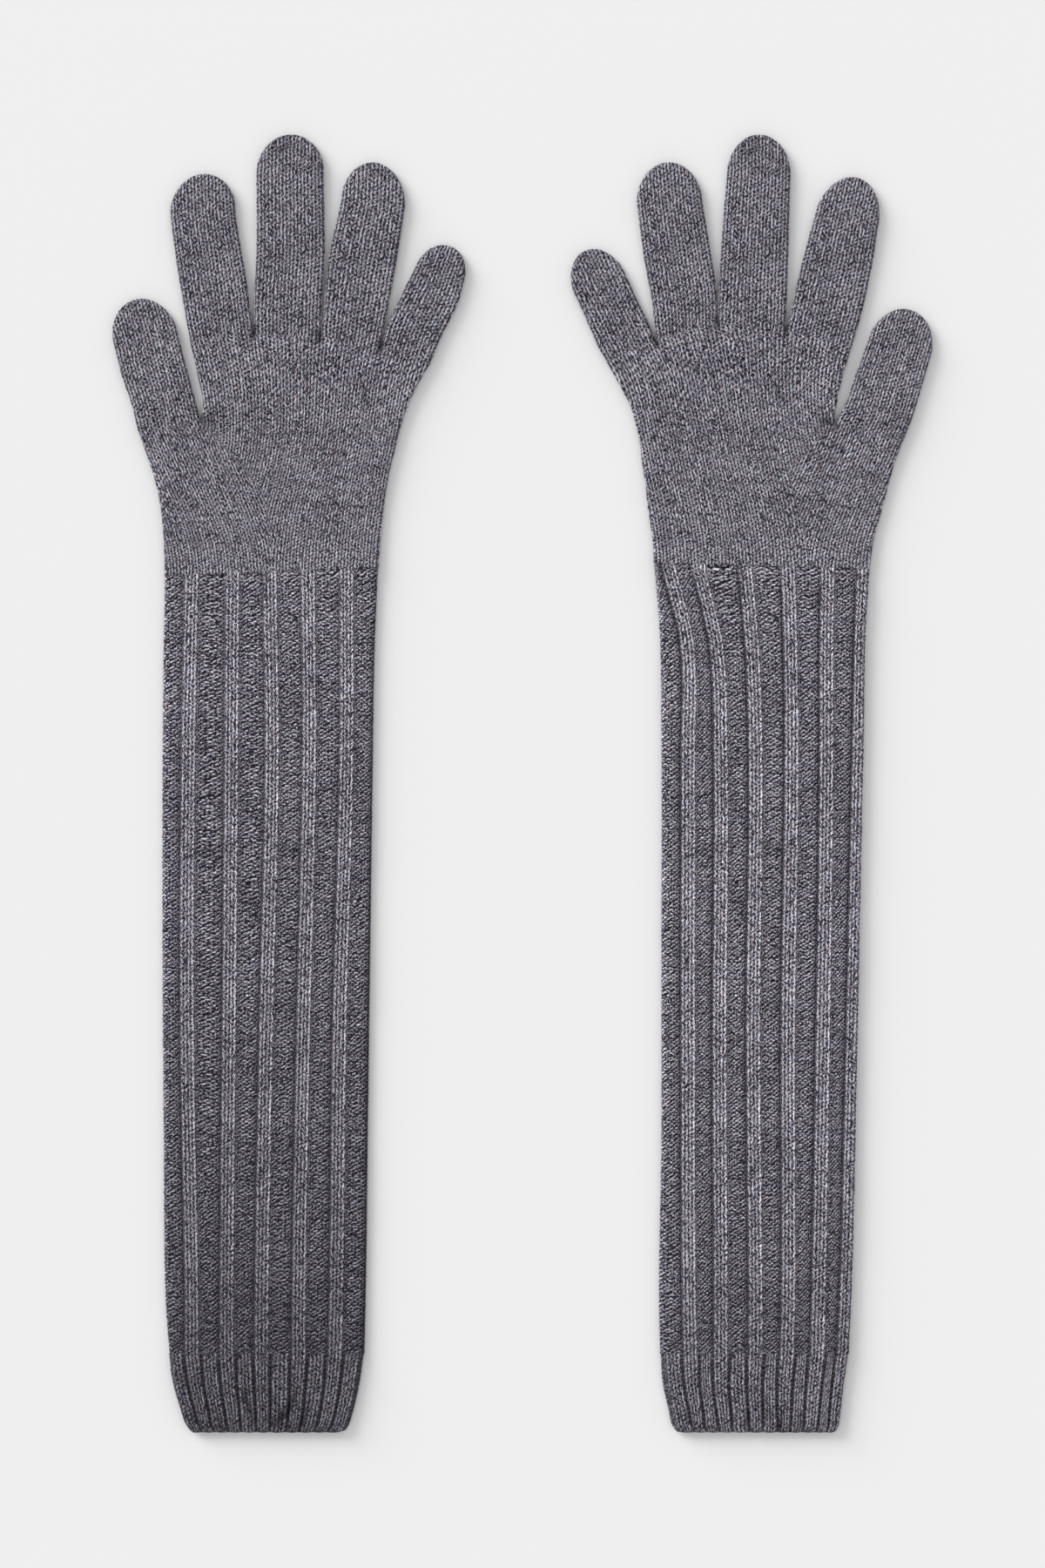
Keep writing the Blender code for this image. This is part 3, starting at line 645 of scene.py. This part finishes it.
def arm_ribs(side):
    """The ribs' places across the arm, on smooth curves through their table."""
    table = np.array(ARM_RIBS[side], float)

    def places(heights, lines):
        middles = smooth_values(np.clip(heights, table[0, 0], table[-1, 0]), table[:, 0], table[:, 1:])
        return middles - lines[:, :1]

    return places


def arm_spread(heights):
    """The purl wales beside a rib lie half hidden in the fold at its foot."""
    return 0 * heights + (-RIB_HALF - HIDDEN_WALE, -RIB_HALF, RIB_HALF, RIB_HALF + HIDDEN_WALE)


def arm_marks(side, heights, wale, from_rib):
    """Ribs lower into the plain hand over the last few courses. The groove beside a rib gets painted
    shade, its right leg a painted highlight, and the purl stretches end in a lighter course under a line
    of painted shade."""
    stand = np.clip((371 - heights) / 10, 0.3, 1) + 0 * wale
    groove = stripe(from_rib, *GROOVE) * np.sqrt(stand)
    on_rib = soft_step(1.25 - np.abs(from_rib), 0, 0.3)
    # Painted shade towards the hem, together with the wool's own tone.
    tone = np.interp(heights, *np.transpose(TONE_AND_SHADE[side]))
    # Painted shade in the groove beside each rib, and a painted highlight on its right leg.
    light = 1.16 - 0.2 * on_rib - np.interp(heights, SHADE_HEIGHTS, GROOVE_SHADE[side]) * groove
    light += np.interp(heights, SHADE_HEIGHTS, LEG_LIGHT) * stripe(from_rib, *PAINTED_LIT_LEG)
    past_end = heights - np.mean(ARM_LINES[side][-1][1::2])
    # A line of painted shade where the palm's edge stands over the purl stretches, with a slightly lighter
    # course below it.
    last_course = 0.05 * soft_step(past_end, -2.6, -1.6) - 0.7 * soft_step(past_end, -0.8, -0.3)
    light += (1 - on_rib) * last_course
    return stand, 1 - tone * light


arm_wool = make_wool("Arm wool", 1.0, 8.0)
for side in ("left", "right"):
    arm = ribbed_wall(side + "_arm_knit", side, ARM_LINES[side], arm_ribs(side), arm_spread, 6, 3,
                       ARM_PROFILE, arm_marks, ARM_TROUGHS[side])
    arm.data.materials.append(arm_wool)
    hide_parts(side + "_arm")
    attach(arm, "root")

# ---- The palms ----
# The hand is plain knitting, knit side out. New stitches are made along a line that climbs from the
# wrist to the thumb's crotch: on its thumb side the wales lean towards the thumb, and on its other
# side they lean away and then fan out to the four fingers. The courses peak along that line.

CROTCH_SHADE = 0.5  # painted shade in the cloth, for each mm that it is pressed in
PALM_SHADE = 0.29  # how dark a palm's plain cloth looks
PALM_CELL = 0.4  # mm, the palm's grid, fine enough for every leg at any slant
UNDER_CELL = 3  # mm, the same on the lower layer
RIM_LENGTH = 8  # mm above the arm over which the palm comes down from its ribs
THUMB_LEAN = 24  # degrees from upright, of the wales on the thumb's side
THUMB_START = 381  # mm, the height about which they bend over into it
THUMB_BEND = 10  # mm, how softly they do
UNDER_BLEND = 16  # mm across the line over which the lower layer's wales turn from lean to lean
FAN_SHARE = 0.75  # how much of their further lean makes the wales beyond the line drift apart
COURSE_LEAN = 13  # degrees, of the courses beside the line
COURSE_REACH = 25  # mm to the side in which they level out, beyond the line
LOWER_PALM_LINES = {
    "left": [(-44.5, 368.5, 47.5, 372), (-45, 384, 48.5, 384), (-46.5, 399, 50, 399),
             (-50, 414, 52.5, 413.5), (-55.5, 429, 56.5, 430)],
    "right": [(-43.5, 374, 49.5, 371.5), (-44, 384, 51.5, 384), (-46, 399, 55.5, 399),
              (-48, 414, 59.5, 414), (-50, 429, 64, 426)],
}
THUMB_CROTCH = {"left": (-29, 435.5), "right": (34.5, 434)}
UPPER_PALM_LINES = {
    "left": [(-29, 435.5, 56.5, 430), (-28, 442.5, 59, 438), (-30.5, 455, 64, 449.5),
             (-33.5, 469, 70, 460)],
    "right": [(-50, 429, 34.5, 434), (-53, 440, 35, 440), (-58, 450, 37, 450), (-63.5, 460, 42, 467)],
}
# The points between the fingers' roots, from left to right, with the palm's corners at both ends.
FINGER_ROOTS = {
    "left": [(-33.5, 469), (-6, 472), (23, 471), (48.5, 467), (70, 460)],
    "right": [(-63.5, 460), (-42.5, 469.5), (-16, 477), (13.5, 473.5), (42, 467)],
}
# Below, x is counted away from the thumb's side, so it is turned round on the right glove.
AWAY_FROM_THUMB = {"left": 1, "right": -1}
# The line of new stitches: height, x.
NEW_STITCH_LINE = {
    "left": [(370, 2), (389, 1.1), (404.8, -2.3), (435.6, -28.9)],
    "right": [(372, -24), (389.4, -21), (400.3, -17.6), (413.4, -14.3), (434.1, -34.5)],
}
# The wales beyond the line: height, their lean at x = 13 in degrees, and degrees more for each mm of x.
PALM_LEANS = {
    "left": [(368, 2, 0), (375, 3.5, -0.03), (387, 8, -0.07), (399, 14, -0.15), (411, 16, -0.15),
             (423, 10.5, 0.1), (435, 3.5, 0.26), (447, 0, 0.33), (459, 0, 0.5), (478, 0, 0.5)],
    "right": [(368, 1, 0), (375, 3, 0), (387, 9.5, -0.05), (399, 13, -0.05), (411, 14, -0.05),
              (423, 13, 0), (435, 11.5, 0.1), (447, 9, 0.27), (459, 9, 0.6), (478, 8, 0.6)],
}
# The wale count of the arm's wales at the wrist: at x = 0, and mm to a wale.
WRIST_WALES = {"left": (14.73, 2.77), "right": (17.1, 2.96)}
PALM_TROUGHS = {
    "left": [(-6, 472.3, 80, 7, 1.4, 1.1), (22.3, 471, 95, 7, 1.4, 1.1), (48.5, 466, 70, 7, 1.4, 1.0),
             (-26, 434.5, 160, 9, 1.8, 0.8), (-21, 438, 30, 10, 1.8, 0.4)],
    "right": [(-42.5, 469, 110, 6, 1.3, 1.0), (-16, 476.5, 95, 7, 1.3, 1.0), (13.5, 473.5, 85, 7, 1.3, 1.0),
              (32, 434, 165, 8, 1.6, 0.9)],
}


def palm_knit(side, thumb_side_too):
    """The palm's wale and course counts at a place. A wale drifts by the sum of its lean's tangents on
    the way up from the wrist. Courses rise towards the line of new stitches."""
    turn = AWAY_FROM_THUMB[side]
    table_heights, at_13, more = np.transpose(PALM_LEANS[side])
    step = 0.5  # mm
    heights = np.arange(366, 482, step)
    drift_13 = np.cumsum(np.tan(np.radians(np.interp(heights, table_heights, at_13)))) * step
    spread = np.cumsum(np.radians(np.interp(heights, table_heights, more))) * step * FAN_SHARE
    first_wale, pitch = WRIST_WALES[side]

    def counts(x, y, face):
        away = x * turn
        beyond = away - np.interp(y, *np.transpose(NEW_STITCH_LINE[side]))
        drift = np.interp(y, heights, drift_13) + np.interp(y, heights, spread) * (away - 13)
        climbed = y - THUMB_START
        thumb_drift = -np.tan(np.radians(THUMB_LEAN)) * (climbed + np.hypot(climbed, THUMB_BEND)) / 2
        rise = COURSE_REACH * (1 - np.exp(-np.abs(beyond) / COURSE_REACH))
        if thumb_side_too:
            thumb_part = np.clip(0.5 - beyond / np.where(face > 0, 0.01, UNDER_BLEND), 0, 1)
            drift = thumb_part * thumb_drift + (1 - thumb_part) * drift
            rise = np.where(beyond < 0, np.abs(beyond), rise)
        rise = rise * np.tan(np.radians(COURSE_LEAN)) * soft_step(y, 366, 398) * (1 - soft_step(y, 436, 468))
        return first_wale + (away - drift) * turn / pitch, (y + rise - row_wave(x, y)) / COURSE

    return counts


def even_columns(upper, lower):
    """Even columns all round a tube, by how many steps its layers have: how far round its layer each
    lies, and 1 on the upper layer or -1 on the lower one."""
    share = np.concatenate([np.linspace(0, 1, upper + 1), np.linspace(1, 0, lower + 1)[1:-1]])[None]
    return share, np.where(np.arange(share.shape[1]) <= upper, 1.0, -1.0)


def palm_wall(name, side, table, top_line, knit_of, troughs, rim_rise):
    """A palm stretch. Its lines turn from straight at the bottom into `top_line` at the top, and its
    stitches follow `knit_of` at every point."""
    length, run = lines_length(table)
    count = int(round(length / (PALM_CELL * 1.05)))
    at = np.linspace(-LAP, length, count + 1)
    amounts = np.clip(at / length, 0, 1)[:, None, None]
    lines = smooth_values(at, run, table)
    corners = np.array(top_line, float)
    corner_shares = run_along(corners) / run_along(corners)[-1]
    off_straight = corners - (corners[0] + (corners[-1] - corners[0]) * corner_shares[:, None])

    def bend(points, of_lines, amount):
        across = of_lines[:, None, 2:] - of_lines[:, None, :2]
        part = ((points[..., :2] - of_lines[:, None, :2]) * across).sum(2) / (across**2).sum(2)
        off = np.stack([np.interp(part, corner_shares, off_straight[:, axis]) for axis in (0, 1)], axis=2)
        points[..., :2] += off * amount

    top_count = int(round(widths(lines).max() / PALM_CELL))
    share, face = even_columns(top_count, int(round(widths(lines).max() / UNDER_CELL)))
    flat, up = skin(lines, share, face, FOLD)
    bend(flat, lines, amounts)
    wale, course = knit_of(flat[..., 0], flat[..., 1], face)
    stitch = np.where(face > 0, knit_face(wale, course), course_ridges(course))
    upper = 0.5 + 0.5 * up
    rim = rim_rise * np.clip(1 - at / RIM_LENGTH, 0, 1)[:, None]
    out = STITCH_DEPTH * (stitch - 1) + upper * (PROUD + rim)
    outer, up = skin(lines, share, face, FOLD, out)
    bend(outer, lines, amounts)
    # Painted shade in the pressed troughs at the crotches.
    shade = PALM_SHADE + CROTCH_SHADE * press_cloth(outer, up, face, troughs)
    some = np.linspace(0, count, 10).astype(int)
    inner_lines = draw_in(lines[some], WALL)
    inner, _ = skin(inner_lines, share, face, SLIT / 2)
    bend(inner, inner_lines, amounts[some])
    knit = np.stack([wale, course], axis=2)
    knit = np.concatenate([knit, knit[:, :1]], axis=1)
    return knitted_wall(name, side, outer, inner, knit, 0, shade, top_count)


hand_wool = make_wool("Hand wool", 1.05, 8.0)
for side in ("left", "right"):
    crotch = THUMB_CROTCH[side]
    lower, upper = LOWER_PALM_LINES[side], UPPER_PALM_LINES[side]
    lower_top = [lower[-1][:2], crotch, lower[-1][2:]]
    for stretch, table, top_line, thumb_side_too, rise, cut in (
        ("lower_palm", lower, lower_top, True, 0.3, (0.214, 0.062)),
        ("upper_palm", upper, FINGER_ROOTS[side], False, 0.0, (0.198, 0.036)),
    ):
        palm = palm_wall(side + "_" + stretch + "_knit", side, table, top_line,
                         palm_knit(side, thumb_side_too), PALM_TROUGHS[side], rise)
        palm.data.materials.append(hand_wool)
        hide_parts(side + "_" + stretch)
        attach(palm, "root")

# ---- The thumbs and fingers ----
# Each is a narrow tube of plain knitting taken up from the palm's open stitches. At its tip the
# knitter drops wales at both sides, so the middle wales run straight into a closed, round end.

# Lines across each finger from its root, then the end of its tip.
FINGERS = {
    "left_thumb": [(-55.5, 429, -29, 435.5), (-59, 443, -33, 450.5), (-63, 454.5, -36, 462),
                   (-66, 466.5, -39, 474), (-57.5, 487)],
    "left_index": [(-33.5, 469, -6, 472), (-37.5, 491.5, -9, 494.5), (-41, 515, -13, 518),
                   (-42, 523.5, -14, 526.5), (-28.5, 541)],
    "left_middle": [(-6, 472, 23, 471), (-6, 487, 23.5, 487), (-5, 507.5, 24.5, 507.5),
                    (-5, 541.5, 24, 541.5), (10, 558)],
    "left_ring": [(23, 471, 48.5, 467), (24, 485, 51.5, 481.5), (26.5, 507.5, 55.5, 504),
                  (31.5, 529.5, 59, 526.5), (46, 546)],
    "left_little": [(48.5, 467, 70, 460), (52, 478, 74, 469.5), (60, 494.5, 82, 486),
                    (63.5, 501, 84, 493.5), (78.5, 510)],
    "right_little": [(-63.5, 460, -42.5, 469.5), (-68, 468, -46, 478), (-71.5, 476, -50, 486),
                     (-77, 488, -55.5, 498), (-73, 508)],
    "right_ring": [(-42.5, 469.5, -16, 477), (-44, 484, -16, 488), (-48, 507.5, -19.5, 511.5),
                   (-50.5, 527, -22.5, 530), (-38, 546)],
    "right_middle": [(-16, 477, 13.5, 473.5), (-15.5, 490.5, 14, 489), (-13.5, 522.5, 15, 522),
                     (-12, 540, 15.5, 540), (2, 558)],
    "right_index": [(13.5, 473.5, 42, 467), (16.5, 487, 46, 480.5), (23, 513, 51.5, 507),
                    (26, 523.5, 53, 517.5), (44, 539.5)],
    "right_thumb": [(34.5, 434, 64, 426), (39, 442, 67, 433.5), (43, 453.5, 70.5, 444.5),
                    (49, 470, 75.5, 461.5), (67.5, 482.5)],
}
FINGER_WALE = 3.05  # mm, a finger's wales are a little stretched
FINGER_SHADE, THUMB_SHADE = 0.35, 0.3  # how dark their plain cloth looks
TIP_ROWS = 34  # rows of points round a tip
TIP_THIN = 1.2  # mm before a tip's end over which its stitches flatten


def finger_wall(name, side, table):
    """A tube closed by a round tip. The tip is half an ellipse: a quarter turn carries its rows from
    the last line, by the sine of the angle along and by the cosine across, and it thins at its end."""
    lines_table, tip = table[:-1], np.array(table[-1], float)
    length, run = lines_length(lines_table)
    count = int(round(length / COURSE)) * 3
    at = np.linspace(-LAP, length, count + 1)
    shaft = smooth_values(at, run, lines_table)
    centre, half = (shaft[-1, :2] + shaft[-1, 2:]) / 2, (shaft[-1, 2:] - shaft[-1, :2]) / 2

    def tip_lines(reach, wide, angles):
        middle = centre + reach * np.sin(angles)[:, None]
        sideways = wide * np.cos(angles)[:, None]
        return np.concatenate([middle - sideways, middle + sideways], axis=1)

    reach = tip - centre
    reach_length = np.linalg.norm(reach)
    angles = np.linspace(0, np.pi / 2, TIP_ROWS + 1)[1:]
    lines = np.concatenate([shaft, tip_lines(reach, half, angles)])
    to_end = reach_length * (1 - np.sin(np.concatenate([0 * at, angles])))
    from_end = np.where(np.arange(len(lines)) <= count, FOLD, np.minimum(to_end, FOLD))
    fold = np.maximum(np.sqrt(FOLD**2 - (FOLD - from_end) ** 2), 1e-5)[:, None]
    along = np.concatenate([at, length + reach_length * np.sin(angles)])
    course = (table[0][1] / COURSE + along / COURSE)[:, None]
    # Wales keep their width into the tip, so the outer ones end at the fold.
    around = layer_run(widths(lines), fold)
    wales = int(round(around[0, 0] / FINGER_WALE))
    pitch = np.where(np.arange(len(lines)) <= count, around[:, 0], around[count, 0])[:, None] / wales
    share, face = even_columns(6 * wales, wales)
    wale = wales / 2 + (share - 0.5) * around / pitch
    wale = np.where(face > 0, wale, 2 * wales - wale)
    in_shaft = np.clip(np.minimum(course - course[0], course[count] - course), 0, 1)
    stitch = np.where(face > 0, knit_face(wale, course), course_ridges(course))
    _, up = skin(lines, share, face, fold)
    closing = np.clip(to_end / TIP_THIN, 0, 1)[:, None]
    out = (STITCH_DEPTH * (stitch - 1) + (0.5 + 0.5 * up) * PROUD) * closing
    wave = in_shaft * row_wave(share * around, course * COURSE)
    outer, up = skin(lines, share, face, fold, out, wave)
    # Painted shade in the pressed troughs at the crotches.
    pressed = CROTCH_SHADE * press_cloth(outer, up * closing, face, PALM_TROUGHS[side])
    shade = pressed + (THUMB_SHADE if "thumb" in name else FINGER_SHADE)
    inner_reach = reach * (1 - WALL / reach_length)
    inner_half = half * (1 - WALL / np.linalg.norm(half))
    inner_tip = tip_lines(inner_reach, inner_half, np.linspace(0, np.pi / 2, 9)[1:])
    some = np.linspace(0, count, 8).astype(int)
    inner_lines = np.concatenate([draw_in(shaft[some], WALL), inner_tip])
    inner, _ = skin(inner_lines, share, face, np.minimum(SLIT / 2, widths(inner_lines) / 2 + 1e-5))
    knit = np.stack(np.broadcast_arrays(wale, course), axis=2)
    closing_column = np.stack([2.0 * wales + wale[:, 0], course[:, 0]], axis=1)[:, None]
    knit = np.concatenate([knit, closing_column], axis=1)
    return knitted_wall(name, side, outer, inner, knit, 0, shade, 6 * wales, closed_tip=True)


for name, table in FINGERS.items():
    side = name.split("_")[0]
    finger = finger_wall(name + "_knit", side, table)
    finger.data.materials.append(hand_wool)
    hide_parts(name)
    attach(finger, "root")

# ---- The table, the light and the camera ----
# The gloves lie on a plain pale table, lit softly from the upper left and seen from straight above.

TABLE_HALF = 20.0  # m, so that it fills the view
TABLE_TOP = -0.0002  # m, just below the gloves
table_top = bpy.data.meshes.new("table")
corners = np.array([(-1, -1), (1, -1), (1, 1), (-1, 1)]) * TABLE_HALF
table_top.from_pydata([(x, y, TABLE_TOP) for x, y in corners.tolist()], [], [(0, 1, 2, 3)])
table_piece = put_in_scene("table", table_top)
paper = bpy.data.materials.new("Pale table")
paper.use_nodes = True
paper_shader = paper.node_tree.nodes["Principled BSDF"].inputs
paper_shader["Base Color"].default_value = (0.8, 0.8, 0.8, 1)
paper_shader["Roughness"].default_value = 0.9
table_top.materials.append(paper)

scene = bpy.context.scene
scene.view_settings.view_transform = "Standard"
world = bpy.data.worlds.new("Soft room")
world.use_nodes = True
room_light = world.node_tree.nodes["Background"].inputs
room_light["Color"].default_value = (1, 1, 1, 1)
room_light["Strength"].default_value = 0.75
scene.world = world

window = put_in_scene("window", bpy.data.lights.new("window", "SUN"))
window.data.energy = 3.0
window.data.angle = np.radians(36)
window.rotation_euler = (0, np.radians(-70), np.radians(-42))

CAMERA_HEIGHT = 1.875  # m
camera = put_in_scene("camera", bpy.data.cameras.new("camera"))
camera.data.lens = 100
camera.data.sensor_width = 36
camera.location = (0.00005, -0.00034, CAMERA_HEIGHT)
scene.camera = camera
